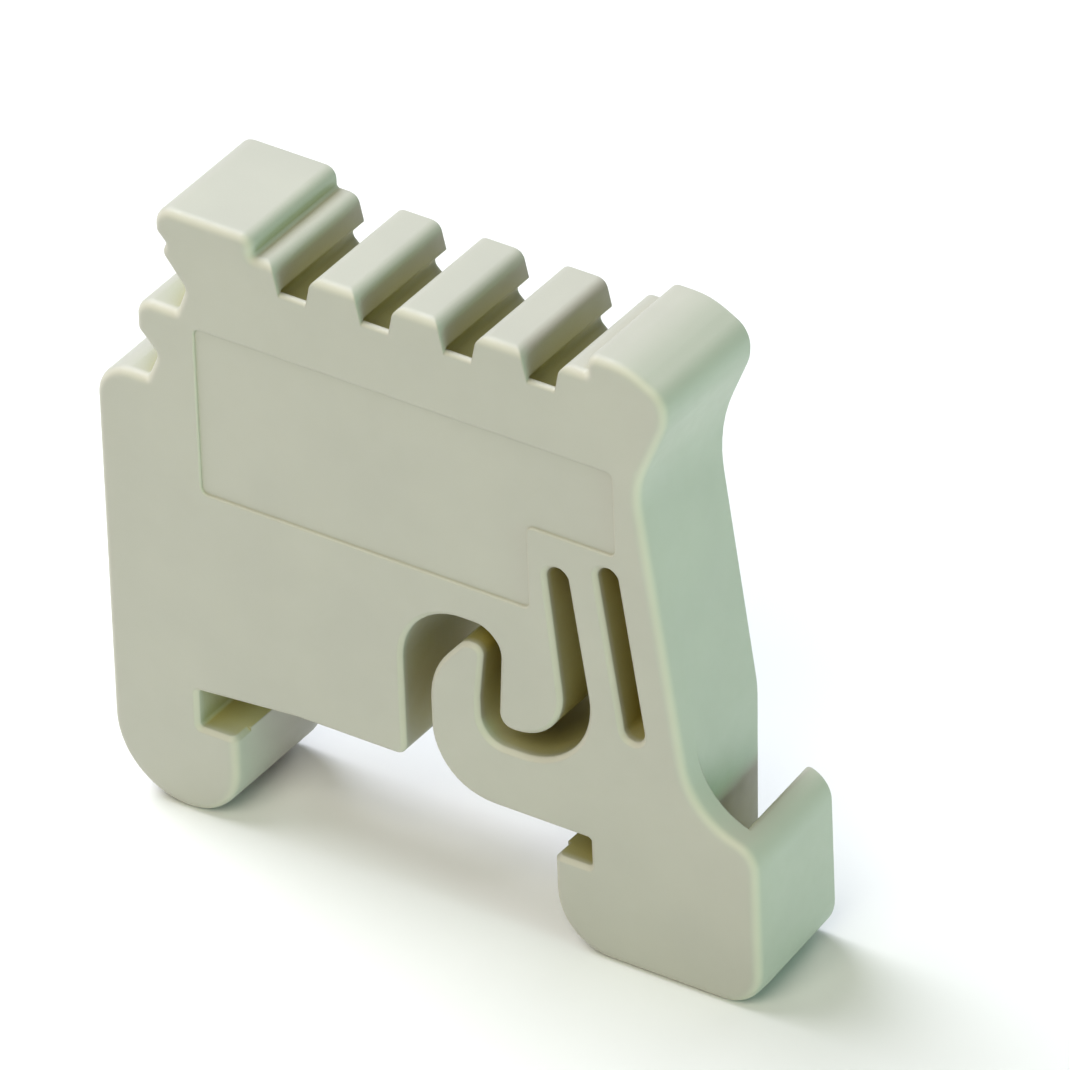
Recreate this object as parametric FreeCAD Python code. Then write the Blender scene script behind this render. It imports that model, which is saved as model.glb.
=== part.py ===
import FreeCAD, Part
import math
import os

# One flat moulding with two hooked feet, the right one on a spring leg, that snaps on from above.
# X runs from midway between the two hooks towards the spring leg, Y from the middle of the
# thickness towards the rear, and Z up from the curl's flat underside.

# Overall sizes, in millimetres
thickness = 5.0
block_height = 18.7
foot_depth = 4.5

# Front edges are rounded; the rear edges and those along the gap and the slot have a small bevel
front_round = 0.35
rear_bevel = 0.12
gap_bevel = 0.15

# Grip of the two feet: width and edge of what they hold, the play round it, hooks and walls
rail_width = 15.0
flange_thickness = 1.0
rail_play = 0.1
hook_reach = 1.35
left_wall = 3.4
right_wall = 6.4

# Left foot: a fixed hook, with a ceiling that rises inwards so that the stop can be tilted on
left_heel_radius = 2.8
nose_radius = 2.05
entry_rise = 0.3
underside_rise = 0.64
underside_start = 3.75

# Left side, from the top down: block, chin, neck, bump, neck and shoulder; each drop is measured
# from the corner before it
block_reach = 8.38
block_side = 0.95
block_radius = 0.65
nick_reach = 8.02
nick_drop = 0.39
chin_reach = 8.2
chin_drop = 0.38
upper_neck_reach = 7.33
upper_neck_drop = 1.13
bump_root_reach = 7.7
bump_drop = 0.95
bump_reach = 9.28
bump_side = 1.18
bump_radius = 0.6
lower_neck_reach = 8.55
lower_neck_drop = 0.77
neck_foot_reach = 8.98
shoulder_drop = 0.98
shoulder_radius = 1.3
small_round = 0.3

# Marker slots across the top, open above and behind, and closed in front by a low lip
marker_count = 4
marker_pitch = 3.16
marker_width = 1.08
marker_flare = 0.22
marker_row_middle = 1.675
tooth_drop = 0.73
tooth_radius = 0.4
lip_drop = 1.0
lip_thickness = 0.2
lip_round = 0.15
well_depth = 1.97
groove_drop = 0.62
groove_mouth = 1.3
groove_width = 0.25
groove_bite = 0.55
groove_radius = 0.3

# Low heads beside the first and the last slot, and the blocks that rise behind them
left_head = 1.015
right_head = 1.155
riser_radius = 0.4
step_round = 0.12

# Boss on top of the spring leg
boss_flat = 1.55
boss_width = 4.14
boss_shoulder = 0.79
boss_side = 1.0
boss_neck_in = 1.205
boss_neck_drop = 4.55
boss_top_radius = 2.4
boss_corner_radius = 0.95
boss_side_radius = 1.6
boss_neck_radius = 3.0

# Right foot: the leg flares into a foot with the hook that snaps on
flare_reach = 11.55
flare_height = 2.4
flare_radius = 2.7
foot_top_fall = 0.76
foot_corner_radius = 1.0
heel_radius = 1.5

# Spring leg: two slanting strips with a straight slot between them
outer_strip = 1.4
inner_strip = 1.21
slot_width = 0.8
slot_top = 10.73
slot_bottom = 4.38

# Spring gap: from the arch under the body, round the tongue, to the top of the inner strip
arch_left = 0.54
arch_top = 6.83
arch_left_radius = 2.35
arch_right_radius = 1.0
mouth_radius = 0.45
tongue_left_top = 4.45
tongue_left_bottom = 4.2
tongue_bottom = 3.17
tongue_left_radius = 0.5
tongue_right_radius = 1.9
gap_top = 10.07
gap_top_width = 0.83
gap_side_lean = 0.096
gap_bottom = 2.38
gap_right_radius = 2.7

# Curl: the round free end of the leg
curl_left = 1.57
curl_bottom_radius = 2.3
curl_bend_height = 4.4
curl_bend_radius = 3.0
curl_top = 6.02
curl_top_left = 2.98
curl_top_right = 3.73
curl_top_left_radius = 0.6
curl_top_right_radius = 0.35
curl_inner_side = 3.48
curl_inner_height = 4.0
curl_inner_bend = 1.5
curl_inner_radius = 0.95

# Release pocket: a screwdriver goes down behind the web, between the leg and the tab
web_thickness = 0.9
pocket_top = 4.3
pocket_floor = -2.4
pocket_lean = 0.2
pocket_corner = 0.5
pocket_bend = 4.0
tab_width = 1.0
tab_tip_radius = 0.22

# Draft: behind the web, the leg and the tab draw in towards the rear
rear_inset = 0.35
neck_slide = 0.37
neck_rear_radius = 6.0
tab_rear_drop = 0.15

# Label field on the front face: a shallow bare recess between the necks, below the markers, with
# a step that leaves room for the gap and the slot
label_drop = 4.18
label_margin = 0.33
label_over_arch = 1.37
label_over_slot = 0.62
label_by_gap = 0.6
label_by_leg = 0.89
label_depth = 0.1
label_radius = 0.25
label_round = 0.05

front = -thickness / 2
rear = thickness / 2
overshoot = 1.0
tolerance = 1e-4
stop_x = rail_width / 2 + rail_play
left_reach = stop_x + left_wall
right_reach = stop_x + right_wall
nose_x = rail_width / 2 - hook_reach
nose_top = -(flange_thickness + rail_play)
block_lower = block_height - block_side
nick_height = block_lower - nick_drop
chin_height = nick_height - chin_drop
upper_neck_height = chin_height - upper_neck_drop
bump_height = upper_neck_height - bump_drop
bump_lower = bump_height - bump_side
lower_neck_height = bump_lower - lower_neck_drop
shoulder_height = lower_neck_height - shoulder_drop
tooth_top = block_height - tooth_drop
lip_top = tooth_top - lip_drop
well_floor = lip_top - well_depth
half_slot = marker_width / 2
half_row = (marker_count - 1) * marker_pitch / 2
first_marker = marker_row_middle - half_row
last_marker = marker_row_middle + half_row
left_riser = first_marker - half_slot - left_head
right_riser = last_marker + half_slot + right_head
boss_right = last_marker + half_slot + boss_width
boss_neck_x = boss_right - boss_neck_in
boss_neck_z = block_height - boss_neck_drop
boss_slant = boss_neck_in / (boss_neck_drop - boss_shoulder - boss_side)
foot_slope = foot_top_fall / (right_reach - flare_reach)


# Place on the leg's straight outer side at a height
def leg_x(z):
    share = (boss_neck_z - z) / (boss_neck_z - flare_height)
    return boss_neck_x + share * (flare_reach - boss_neck_x)


def point(x, z, y):
    return FreeCAD.Vector(x, y, z)


# Half of the angle between a corner's two sides
def half_angle(spots, i):
    to_last = spots[i - 1] - spots[i]
    to_next = spots[(i + 1) % len(spots)] - spots[i]
    return to_last.getAngle(to_next) / 2


# How far each corner's rounding reaches along its sides; where a side is too short for the
# rounding at both its ends, both are cut back
def trims(corners, spots, closed):
    count = len(spots)
    wanted = [r / math.tan(half_angle(spots, i)) for i, (x, z, r) in enumerate(corners)]
    if not closed:
        wanted[0] = 0
        wanted[-1] = 0
    share = [1.0] * count
    for i in range(count):
        after = (i + 1) % count
        both = wanted[i] + wanted[after]
        length = spots[i].distanceToPoint(spots[after])
        if both > length:
            share[i] = min(share[i], length / both)
            share[after] = min(share[after], length / both)
    return [w * s for w, s in zip(wanted, share)]


# Line and arc edges through corners (x, z, radius)
def rounded(corners, y, closed=False):
    spots = [point(x, z, y) for x, z, r in corners]
    count = len(spots)
    starts = []
    ends = []
    arcs = []
    for i, trim in enumerate(trims(corners, spots, closed)):
        here = spots[i]
        if trim <= 0:
            starts.append(here)
            ends.append(here)
            arcs.append(None)
            continue
        half = half_angle(spots, i)
        radius = trim * math.tan(half)
        a = here + (spots[i - 1] - here).normalize() * trim
        b = here + (spots[(i + 1) % count] - here).normalize() * trim
        inward = ((a + b) * 0.5 - here).normalize()
        middle = here + inward * (radius / math.sin(half) - radius)
        starts.append(a)
        ends.append(b)
        arcs.append(Part.Arc(a, middle, b).toShape())
    path = []
    for i in range(count):
        if arcs[i]:
            path.append(arcs[i])
        if i == count - 1 and not closed:
            break
        there = starts[(i + 1) % count]
        if ends[i].distanceToPoint(there) > tolerance:
            path.append(Part.LineSegment(ends[i], there).toShape())
    return path


def prism(corners, y0, y1):
    face = Part.Face(Part.Wire(rounded(corners, y0, closed=True)))
    return face.extrude(FreeCAD.Vector(0, y1 - y0, 0))


# Corners of one marker slot's mouth, from the left tooth over the lip to the right tooth
def mouth_corners(centre):
    high = half_slot + marker_flare
    return [
        (centre - high, tooth_top, tooth_radius),
        (centre - half_slot, lip_top, 0),
        (centre + half_slot, lip_top, 0),
        (centre + high, tooth_top, tooth_radius),
    ]


def marker_centres():
    return [first_marker + i * marker_pitch for i in range(marker_count)]


# Height of the foot's sloping top, by the place along X
def foot_top(x):
    return flare_height - (x - flare_reach) * foot_slope


# Below the boss, down the leg's flare and round the foot, to the right hook's tip
def web_side():
    return [
        (boss_neck_x, boss_neck_z, boss_neck_radius),
        (flare_reach, flare_height, flare_radius),
        (right_reach, foot_top(right_reach), foot_corner_radius),
        (right_reach, -foot_depth, heel_radius),
    ]


# The same side behind the web, where the release pocket parts the leg from the tab; it draws in
# from the web, at share 0, to the rear face, at share 1
def pocket_side(share):
    slide = share * neck_slide
    neck_radius = boss_neck_radius + share * (neck_rear_radius - boss_neck_radius)
    leg_end = leg_x(pocket_top) - share * rear_inset
    side = right_reach - share * rear_inset
    tab_inner = side - tab_width
    drop = share * tab_rear_drop
    return [
        (boss_neck_x - slide * boss_slant, boss_neck_z - slide, neck_radius),
        (leg_end, pocket_top, pocket_bend),
        (leg_end - pocket_lean, pocket_floor, pocket_corner),
        (tab_inner, pocket_floor, pocket_corner),
        (tab_inner, foot_top(tab_inner) - drop, tab_tip_radius),
        (side, foot_top(side) - drop, foot_corner_radius),
        (side, -foot_depth, heel_radius),
    ]


# Outside of the stop, clockwise from the left hook's tip, over the top, to the right hook's tip
def outer_corners(top, right_side):
    corners = [
        (-nose_x, nose_top, 0),
        (-nose_x, -foot_depth, nose_radius),
        (-left_reach, -foot_depth, left_heel_radius),
        (-left_reach, shoulder_height, shoulder_radius),
        (-neck_foot_reach, shoulder_height, step_round),
        (-lower_neck_reach, lower_neck_height, small_round),
        (-bump_reach, bump_lower, small_round),
        (-bump_reach, bump_height, bump_radius),
        (-bump_root_reach, bump_height, step_round),
        (-upper_neck_reach, upper_neck_height, small_round),
        (-chin_reach, chin_height, small_round),
        (-nick_reach, nick_height, step_round),
        (-block_reach, block_lower, small_round),
        (-block_reach, block_height, block_radius),
        (left_riser, block_height, riser_radius),
        (left_riser, tooth_top, step_round),
    ]
    corners += top
    corners += [
        (right_riser, tooth_top, step_round),
        (right_riser, block_height, riser_radius),
        (right_riser + boss_flat, block_height, boss_top_radius),
        (boss_right, block_height - boss_shoulder, boss_corner_radius),
        (boss_right, block_height - boss_shoulder - boss_side, boss_side_radius),
    ]
    corners += right_side
    corners += [
        (nose_x, -foot_depth, nose_radius),
        (nose_x, nose_top, 0),
    ]
    return corners


# Place on the spring gap's right side at a height, which is the inner strip's left side
def gap_right(z):
    return leg_x(z) - outer_strip - slot_width - inner_strip


# Inside of the stop, from the right hook's tip, round the curl and the gap, to the left hook's tip
def inner_corners():
    gap_left_top = gap_right(gap_top) - gap_top_width
    gap_left_bottom = gap_left_top + (gap_top - tongue_bottom) * gap_side_lean
    top_radius = gap_top_width / 2
    return [
        (nose_x, nose_top, 0),
        (stop_x, nose_top, step_round),
        (stop_x, 0, step_round),
        (curl_left, 0, curl_bottom_radius),
        (curl_left, curl_bend_height, curl_bend_radius),
        (curl_top_left, curl_top, curl_top_left_radius),
        (curl_top_right, curl_top, curl_top_right_radius),
        (curl_inner_side, curl_inner_height, curl_inner_bend),
        (curl_inner_side, gap_bottom, curl_inner_radius),
        (gap_right(gap_bottom), gap_bottom, gap_right_radius),
        (gap_right(gap_top), gap_top, top_radius),
        (gap_left_top, gap_top, top_radius),
        (gap_left_bottom, tongue_bottom, tongue_right_radius),
        (tongue_left_bottom, tongue_bottom, tongue_left_radius),
        (tongue_left_top, arch_top, arch_right_radius),
        (arch_left, arch_top, arch_left_radius),
        (arch_left, underside_rise, mouth_radius),
        (-underside_start, underside_rise, 0),
        (-stop_x, entry_rise, step_round),
        (-stop_x, nose_top, step_round),
        (-nose_x, nose_top, 0),
    ]


# Label field's corners; its step keeps it clear of the gap and of the slot's top
def label_corners():
    left = label_margin - upper_neck_reach
    right = boss_neck_x - label_by_leg
    step_x = gap_right(gap_top) - gap_top_width - label_by_gap
    top = block_height - label_drop
    bottom = arch_top + label_over_arch
    step_z = slot_top + label_over_slot
    return [
        (left, bottom, label_radius),
        (step_x, bottom, label_radius),
        (step_x, step_z, label_radius),
        (right, step_z, label_radius),
        (right, top, label_radius),
        (left, top, label_radius),
    ]


# Edges of a shape that lie along a wire
def edges_along(shape, wire):
    found = []
    for edge in shape.Edges:
        middle = edge.valueAt((edge.FirstParameter + edge.LastParameter) / 2)
        if wire.distToShape(Part.Vertex(middle))[0] < tolerance:
            found.append(edge)
    return found


# Mouth of a marker slot, with a crisp rim on the front face
def make_mouth(centre):
    brim = half_slot + marker_flare + tooth_radius
    corners = [(centre - brim, tooth_top + overshoot, 0), (centre - brim, tooth_top, 0)]
    corners += mouth_corners(centre)
    corners += [(centre + brim, tooth_top, 0), (centre + brim, tooth_top + overshoot, 0)]
    return prism(corners, front - overshoot, rear)


# Front edge of a marker slot's lip
def lip_line(centre):
    left = point(centre - half_slot, lip_top, front)
    right = point(centre + half_slot, lip_top, front)
    return Part.LineSegment(left, right).toShape()


# Front layer: the whole outline, with the web that closes the release pocket in front
def make_web():
    outer = rounded(outer_corners([], web_side()), front)
    inner = rounded(inner_corners(), front)
    layer = Part.Face(Part.Wire(outer + inner)).extrude(FreeCAD.Vector(0, web_thickness, 0))
    layer = layer.makeFillet(front_round, edges_along(layer, Part.Wire(outer)))
    layer = layer.makeChamfer(gap_bevel, edges_along(layer, Part.Wire(inner)))
    for centre in marker_centres():
        layer = layer.cut(make_mouth(centre))
        layer = layer.makeFillet(lip_round, edges_along(layer, lip_line(centre)))
    layer = layer.cut(prism(label_corners(), front - overshoot, front + label_depth))
    rim = Part.Wire(rounded(label_corners(), front, closed=True))
    return layer.makeFillet(label_round, edges_along(layer, rim))


# Rear layer: the outline with the open pocket, drawn in towards the rear on the right
def make_back():
    top = []
    for centre in marker_centres():
        top += mouth_corners(centre)
    sections = []
    for share, y in ((0, front + web_thickness), (1, rear)):
        outer = rounded(outer_corners(top, pocket_side(share)), y)
        sections.append(Part.Wire(outer + rounded(inner_corners(), y)))
    layer = Part.makeLoft(sections, True, True)
    return layer.makeChamfer(rear_bevel, edges_along(layer, sections[1]))


# Marker slot behind the lip: its side walls bulge in above a round groove, which a marker's foot
# snaps into
def make_well(centre):
    mid = lip_top - groove_drop
    bite = half_slot + groove_bite
    right_wall_down = [
        (half_slot, lip_top + overshoot, 0),
        (half_slot, mid + groove_mouth / 2, groove_radius),
        (bite, mid + groove_width / 2, groove_radius),
        (bite, mid - groove_width / 2, groove_radius),
        (half_slot, mid - groove_mouth / 2, groove_radius),
        (half_slot, well_floor, step_round),
    ]
    left_wall_up = [(-x, z, r) for x, z, r in reversed(right_wall_down)]
    corners = [(centre + x, z, r) for x, z, r in right_wall_down + left_wall_up]
    return prism(corners, front + lip_thickness, rear + overshoot)


# Straight slot that splits the leg into two strips
def slot_corners():
    low = leg_x(slot_bottom) - outer_strip
    high = leg_x(slot_top) - outer_strip
    end = slot_width / 2
    return [
        (low - slot_width, slot_bottom, end),
        (low, slot_bottom, end),
        (high, slot_top, end),
        (high - slot_width, slot_top, end),
    ]


def make_end_stop():
    stop = make_web().fuse(make_back()).removeSplitter()
    for centre in marker_centres():
        stop = stop.cut(make_well(centre))
    stop = stop.cut(prism(slot_corners(), front - overshoot, rear + overshoot))
    rim = Part.Wire(rounded(slot_corners(), front, closed=True))
    return stop.makeChamfer(gap_bevel, edges_along(stop, rim))


os.makedirs("parts", exist_ok=True)
end_stop = make_end_stop()
print("solids", len(end_stop.Solids), "valid", end_stop.isValid(), "volume", round(end_stop.Volume, 2))
end_stop.exportStep("parts/end_stop.step")
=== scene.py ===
import math

import bpy
from mathutils import Matrix, Vector


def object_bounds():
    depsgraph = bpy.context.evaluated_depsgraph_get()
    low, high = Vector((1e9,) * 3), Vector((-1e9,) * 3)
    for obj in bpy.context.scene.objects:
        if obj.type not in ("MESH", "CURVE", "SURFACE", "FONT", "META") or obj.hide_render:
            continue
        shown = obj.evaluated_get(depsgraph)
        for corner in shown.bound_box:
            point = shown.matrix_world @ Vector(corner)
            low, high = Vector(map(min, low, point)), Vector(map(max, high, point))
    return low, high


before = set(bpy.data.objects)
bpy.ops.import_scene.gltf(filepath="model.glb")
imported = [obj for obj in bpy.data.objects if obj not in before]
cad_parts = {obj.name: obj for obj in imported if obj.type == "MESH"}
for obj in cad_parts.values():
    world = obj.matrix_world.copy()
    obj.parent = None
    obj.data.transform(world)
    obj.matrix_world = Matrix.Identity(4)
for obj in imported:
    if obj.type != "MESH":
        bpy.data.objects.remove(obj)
cad_low, cad_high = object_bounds()

MM = 0.001
FRONT_Y = cad_low.y
FLOOR_Z = cad_low.z
MIDDLE = (cad_low + cad_high) / 2

# Camera at the photograph's viewing angle: degrees, and pixels of the square photograph
PHOTO_WIDTH = 1070
AZIMUTH = 35.26
ELEVATION = 34.09
ROLL = -2.32
FOCAL_PIXELS = 20000
PIXELS_PER_MM = 31.266
SENSOR_MM = 36.0
CLIP_NEAR = 0.05
CLIP_FAR = 5.0

# Where the origin, moved forward to the front face, falls in the photograph, from its top left
ORIGIN_U = 391.8
ORIGIN_V = 769.5

# Studio: metres, and linear colours
FLOOR_HALF_WIDTH = 1.6
FLOOR_COLOR = (0.82, 0.82, 0.82, 1.0)
FLOOR_ROUGHNESS = 0.9
SKY_COLOR = (1.0, 1.0, 1.0, 1.0)
SKY_STRENGTH = 0.10
LAMP_DISTANCE = 0.5
LAMP_WIDTH = 0.3
FILL_WIDTH = 0.14
NEUTRAL_LIGHT = (1.0, 1.0, 1.0)
COOL_LIGHT = (0.86, 0.90, 1.0)
FAINT_COOL_LIGHT = (0.95, 0.96, 1.0)
WARM_LIGHT = (1.0, 0.97, 0.78)
GREEN_LIGHT = (0.50, 1.0, 0.78)

# Plastic: sizes of its patterns, depths of its relief, and the reaches and fade-in depth of its painted
# shade, in millimetres
CLOUD_SIZE = 4.0
GLOSS_SIZE = 0.6
SINK_SIZE = 5.0
SINK_DEPTH = 0.010
GRAIN_SIZE = 0.11
GRAIN_DEPTH = 0.0025
EDGE_RADIUS = 0.12
SHORT_REACH = 1.6
LONG_REACH = 3.0
RIM_DEPTH = 0.4

# Plastic: its roughness, its colour, and tints that multiply the colour: painted shade in recesses, and a
# painted highlight along edges over slightly darkened faces
LEAST_ROUGH = 0.46
MOST_ROUGH = 0.58
BEIGE_GREY = (0.501, 0.495, 0.420, 1.0)
PALE_BEIGE_GREY = (0.523, 0.517, 0.436, 1.0)
NO_TINT = (1.0, 1.0, 1.0, 1.0)
OCHRE_PAINTED_SHADE = (0.55, 0.40, 0.06, 1.0)
YELLOW_PAINTED_SHADE = (1.0, 1.0, 0.50, 1.0)
CREAM_PAINTED_SHADE = (0.98, 0.99, 0.76, 1.0)
SAGE_PAINTED_SHADE = (0.82, 0.86, 0.74, 1.0)
PAINTED_HIGHLIGHT_FLAT_TINT = (0.87, 0.88, 0.89, 1.0)
PAINTED_HIGHLIGHT_EDGE_TINT = (1.0, 0.98, 0.95, 1.0)

# Most of a noise's values lie between these two
NOISE_LOW = 0.3
NOISE_HIGH = 0.7

# Rays that look round each point for its openness, and for the edges near it
OPENNESS_SAMPLES = 8
EDGE_SAMPLES = 6


# Direction away from the object: azimuth from the front towards the right, elevation from level
def direction(azimuth, elevation):
    bearing = math.radians(azimuth)
    height = math.radians(elevation)
    return Vector((
        math.sin(bearing) * math.cos(height),
        -math.cos(bearing) * math.cos(height),
        math.sin(height),
    ))


def camera_axes():
    back = direction(AZIMUTH, ELEVATION)
    bearing = math.radians(AZIMUTH)
    roll = math.radians(ROLL)
    level_right = Vector((math.cos(bearing), math.sin(bearing), 0.0))
    level_up = back.cross(level_right)
    right = math.cos(roll) * level_right + math.sin(roll) * level_up
    up = math.cos(roll) * level_up - math.sin(roll) * level_right
    return right, up, back


# The camera aims so that the origin falls on its place in the photograph
def add_camera():
    right, up, back = camera_axes()
    centre = PHOTO_WIDTH / 2
    across = (centre - ORIGIN_U) / PIXELS_PER_MM * MM
    upward = (ORIGIN_V - centre) / PIXELS_PER_MM * MM
    target = Vector((0.0, FRONT_Y, 0.0)) + across * right + upward * up
    distance = FOCAL_PIXELS / PIXELS_PER_MM * MM
    data = bpy.data.cameras.new("camera")
    data.sensor_width = SENSOR_MM
    data.lens = FOCAL_PIXELS * SENSOR_MM / PHOTO_WIDTH
    data.clip_start = CLIP_NEAR
    data.clip_end = CLIP_FAR
    camera = bpy.data.objects.new("camera", data)
    bpy.context.scene.collection.objects.link(camera)
    turn = Matrix((right, up, back)).transposed().to_4x4()
    camera.matrix_world = Matrix.Translation(target + distance * back) @ turn
    bpy.context.scene.camera = camera


def add_floor():
    w = FLOOR_HALF_WIDTH
    z = FLOOR_Z
    mesh = bpy.data.meshes.new("floor")
    mesh.from_pydata([(-w, -w, z), (w, -w, z), (w, w, z), (-w, w, z)], [], [(0, 1, 2, 3)])
    floor = bpy.data.objects.new("floor", mesh)
    bpy.context.scene.collection.objects.link(floor)
    material = bpy.data.materials.new("floor")
    material.use_nodes = True
    shader = material.node_tree.nodes["Principled BSDF"]
    shader.inputs["Base Color"].default_value = FLOOR_COLOR
    shader.inputs["Roughness"].default_value = FLOOR_ROUGHNESS
    mesh.materials.append(material)


def add_sky():
    world = bpy.data.worlds.new("studio")
    world.use_nodes = True
    sky = world.node_tree.nodes["Background"]
    sky.inputs["Color"].default_value = SKY_COLOR
    sky.inputs["Strength"].default_value = SKY_STRENGTH
    bpy.context.scene.world = world


# Soft square lamp, aimed at the object's middle
def add_lamp(name, azimuth, elevation, power, color=NEUTRAL_LIGHT, width=LAMP_WIDTH):
    away = direction(azimuth, elevation)
    data = bpy.data.lights.new(name, "AREA")
    data.shape = "SQUARE"
    data.size = width
    data.energy = power
    data.color = color
    lamp = bpy.data.objects.new(name, data)
    bpy.context.scene.collection.objects.link(lamp)
    lamp.location = MIDDLE + LAMP_DISTANCE * away
    lamp.rotation_mode = "QUATERNION"
    lamp.rotation_quaternion = away.to_track_quat("Z", "Y")
    return lamp


# The green fill lights the right side, and stays out of reflections so that the tops have no glare
def add_lamps():
    add_lamp("left_back_box", azimuth=250, elevation=50, power=1.9, color=COOL_LIGHT)
    add_lamp("left_top_box", azimuth=275, elevation=60, power=1.55, color=FAINT_COOL_LIGHT)
    add_lamp("front_box", azimuth=10, elevation=45, power=1.40, color=WARM_LIGHT)
    fill = add_lamp("right_box", azimuth=85, elevation=8, power=1.04, color=GREEN_LIGHT, width=FILL_WIDTH)
    fill.visible_glossy = False
    add_lamp("rear_box", azimuth=180, elevation=17, power=0.6)


# Nodes and links of one material, with the object's own coordinates in millimetres to hand
class Graph:
    def __init__(self, name):
        self.material = bpy.data.materials.new(name)
        self.material.use_nodes = True
        self.tree = self.material.node_tree
        self.shader = self.tree.nodes["Principled BSDF"]
        place = self.tree.nodes.new("ShaderNodeTexCoord")
        scale = self.tree.nodes.new("ShaderNodeVectorMath")
        scale.operation = "SCALE"
        scale.inputs["Scale"].default_value = 1 / MM
        self.link(place.outputs["Object"], scale.inputs[0])
        self.place = scale.outputs[0]

    def link(self, out, into):
        self.tree.links.new(out, into)

    def noise(self, size_mm, detail):
        node = self.tree.nodes.new("ShaderNodeTexNoise")
        node.inputs["Scale"].default_value = 1 / size_mm
        node.inputs["Detail"].default_value = detail
        self.link(self.place, node.inputs["Vector"])
        return node.outputs["Fac"]

    # Colour by value, through stops of a value and a colour each
    def ramp(self, fac, stops):
        node = self.tree.nodes.new("ShaderNodeValToRGB")
        elements = node.color_ramp.elements
        for position, color in stops[1:-1]:
            elements.new(position).color = color
        elements[0].position, elements[0].color = stops[0]
        elements[-1].position, elements[-1].color = stops[-1]
        self.link(fac, node.inputs["Fac"])
        return node.outputs["Color"]

    # A value between start and end becomes one between low and high
    def span(self, fac, low, high, start=NOISE_LOW, end=NOISE_HIGH):
        node = self.tree.nodes.new("ShaderNodeMapRange")
        node.inputs["From Min"].default_value = start
        node.inputs["From Max"].default_value = end
        node.inputs["To Min"].default_value = low
        node.inputs["To Max"].default_value = high
        self.link(fac, node.inputs["Value"])
        return node.outputs["Result"]

    # Sum, difference or product of two values, each an output or a number
    def calculate(self, operation, first, second):
        node = self.tree.nodes.new("ShaderNodeMath")
        node.operation = operation
        for socket, value in zip(node.inputs, (first, second)):
            if isinstance(value, float):
                socket.default_value = value
            else:
                self.link(value, socket)
        return node.outputs[0]

    # How far a direction or a place runs from the front towards the rear
    def rearward(self, vector):
        node = self.tree.nodes.new("ShaderNodeSeparateXYZ")
        self.link(vector, node.inputs[0])
        return node.outputs["Y"]

    # How open a point is to its close surroundings, 0 deep in a slot and 1 on an open face
    def openness(self, reach_mm):
        node = self.tree.nodes.new("ShaderNodeAmbientOcclusion")
        node.samples = OPENNESS_SAMPLES
        node.only_local = True
        node.inputs["Distance"].default_value = reach_mm * MM
        return node.outputs["AO"]

    # 0 on the front face's plane, 1 further in than the depth given
    def behind_front(self, depth_mm):
        front = FRONT_Y / MM
        return self.span(self.rearward(self.place), 0.0, 1.0, front, front + depth_mm)

    # 1 where the surface turns over from the front or rear face to a side, 0 on faces and sides
    def turned(self, normal):
        rearward = self.rearward(normal)
        facing = self.calculate("MULTIPLY", rearward, rearward)
        aside = self.calculate("SUBTRACT", 1.0, facing)
        return self.calculate("MULTIPLY", self.calculate("MULTIPLY", facing, aside), 4.0)

    # Surface direction, rounded off within a small radius of every edge
    def soft_edges(self, radius_mm):
        node = self.tree.nodes.new("ShaderNodeBevel")
        node.samples = EDGE_SAMPLES
        node.inputs["Radius"].default_value = radius_mm * MM
        return node.outputs["Normal"]

    # Colour times tint, in full unless an amount is given
    def multiply(self, color, tint, amount=None):
        node = self.tree.nodes.new("ShaderNodeMix")
        node.data_type = "RGBA"
        node.blend_type = "MULTIPLY"
        node.inputs["Factor"].default_value = 1.0
        if amount is not None:
            self.link(amount, node.inputs["Factor"])
        self.link(color, node.inputs["A"])
        self.link(tint, node.inputs["B"])
        return node.outputs["Result"]

    def bump(self, height, depth_mm, normal):
        node = self.tree.nodes.new("ShaderNodeBump")
        node.inputs["Strength"].default_value = 1.0
        node.inputs["Distance"].default_value = depth_mm * MM
        self.link(height, node.inputs["Height"])
        self.link(normal, node.inputs["Normal"])
        return node.outputs["Normal"]


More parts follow.
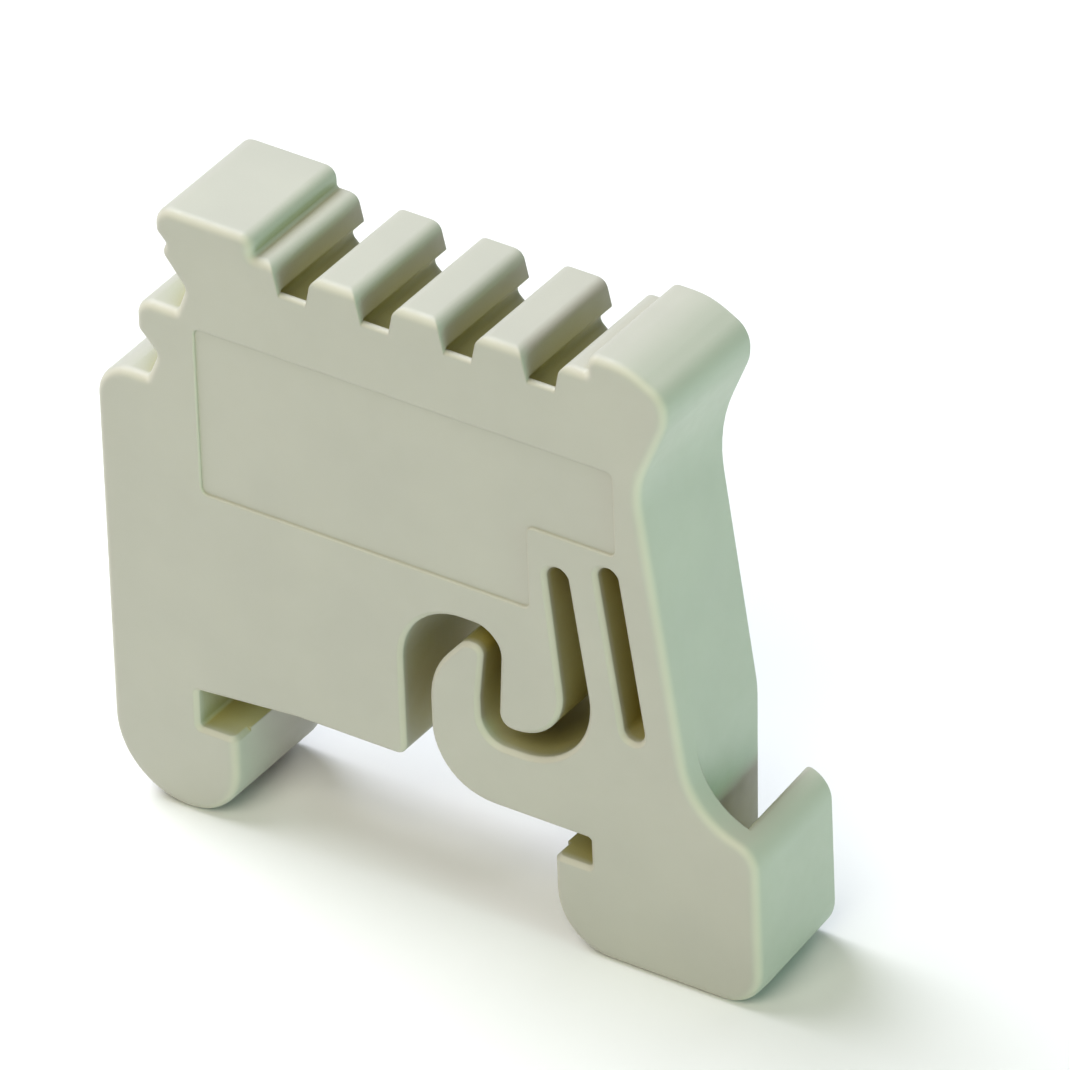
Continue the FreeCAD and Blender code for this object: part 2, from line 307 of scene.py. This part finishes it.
# Beige-grey and faintly cloudy, with painted olive shade in the recesses behind the front face and a
# painted highlight along the edges
def plastic_color_with_painted_light(graph, soft_normal):
    cloud = graph.noise(CLOUD_SIZE, detail=2.0)
    color = graph.ramp(cloud, [(0.35, BEIGE_GREY), (0.65, PALE_BEIGE_GREY)])
    # Painted shade: the more closed in a point is, the darker and more ochre, yellow or sage its colour
    painted_crevice_shade = graph.ramp(graph.openness(SHORT_REACH), [(0.10, OCHRE_PAINTED_SHADE), (0.85, NO_TINT)])
    painted_recess_shade = graph.ramp(graph.openness(LONG_REACH), [
        (0.20, YELLOW_PAINTED_SHADE),
        (0.45, CREAM_PAINTED_SHADE),
        (0.61, SAGE_PAINTED_SHADE),
        (0.75, NO_TINT),
    ])
    # Painted highlight: front and rear edges are made paler, and flat faces darker, by how far the
    # surface turns
    painted_edge_highlight = graph.ramp(graph.turned(soft_normal), [(0.15, PAINTED_HIGHLIGHT_FLAT_TINT), (1.0, PAINTED_HIGHLIGHT_EDGE_TINT)])
    painted_shade = graph.multiply(painted_crevice_shade, painted_recess_shade)
    # The painted shade fades out towards the front face's plane
    color_with_painted_shade = graph.multiply(color, painted_shade, amount=graph.behind_front(RIM_DEPTH))
    return graph.multiply(color_with_painted_shade, painted_edge_highlight)


# Moulded thermoplastic with a fine satin grain, gentle sink and soft edges
def moulded_body():
    graph = Graph("moulded_body")
    soft = graph.soft_edges(EDGE_RADIUS)
    gloss = graph.noise(GLOSS_SIZE, detail=4.0)
    sink = graph.bump(graph.noise(SINK_SIZE, detail=1.0), SINK_DEPTH, soft)
    grain = graph.bump(graph.noise(GRAIN_SIZE, detail=2.0), GRAIN_DEPTH, sink)
    inputs = graph.shader.inputs
    graph.link(plastic_color_with_painted_light(graph, soft), inputs["Base Color"])
    graph.link(graph.span(gloss, LEAST_ROUGH, MOST_ROUGH), inputs["Roughness"])
    graph.link(grain, inputs["Normal"])
    return graph.material


add_camera()
add_floor()
add_sky()
add_lamps()
bpy.context.scene.view_settings.view_transform = "Standard"
end_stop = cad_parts["end_stop"]
end_stop.data.materials.clear()
end_stop.data.materials.append(moulded_body())
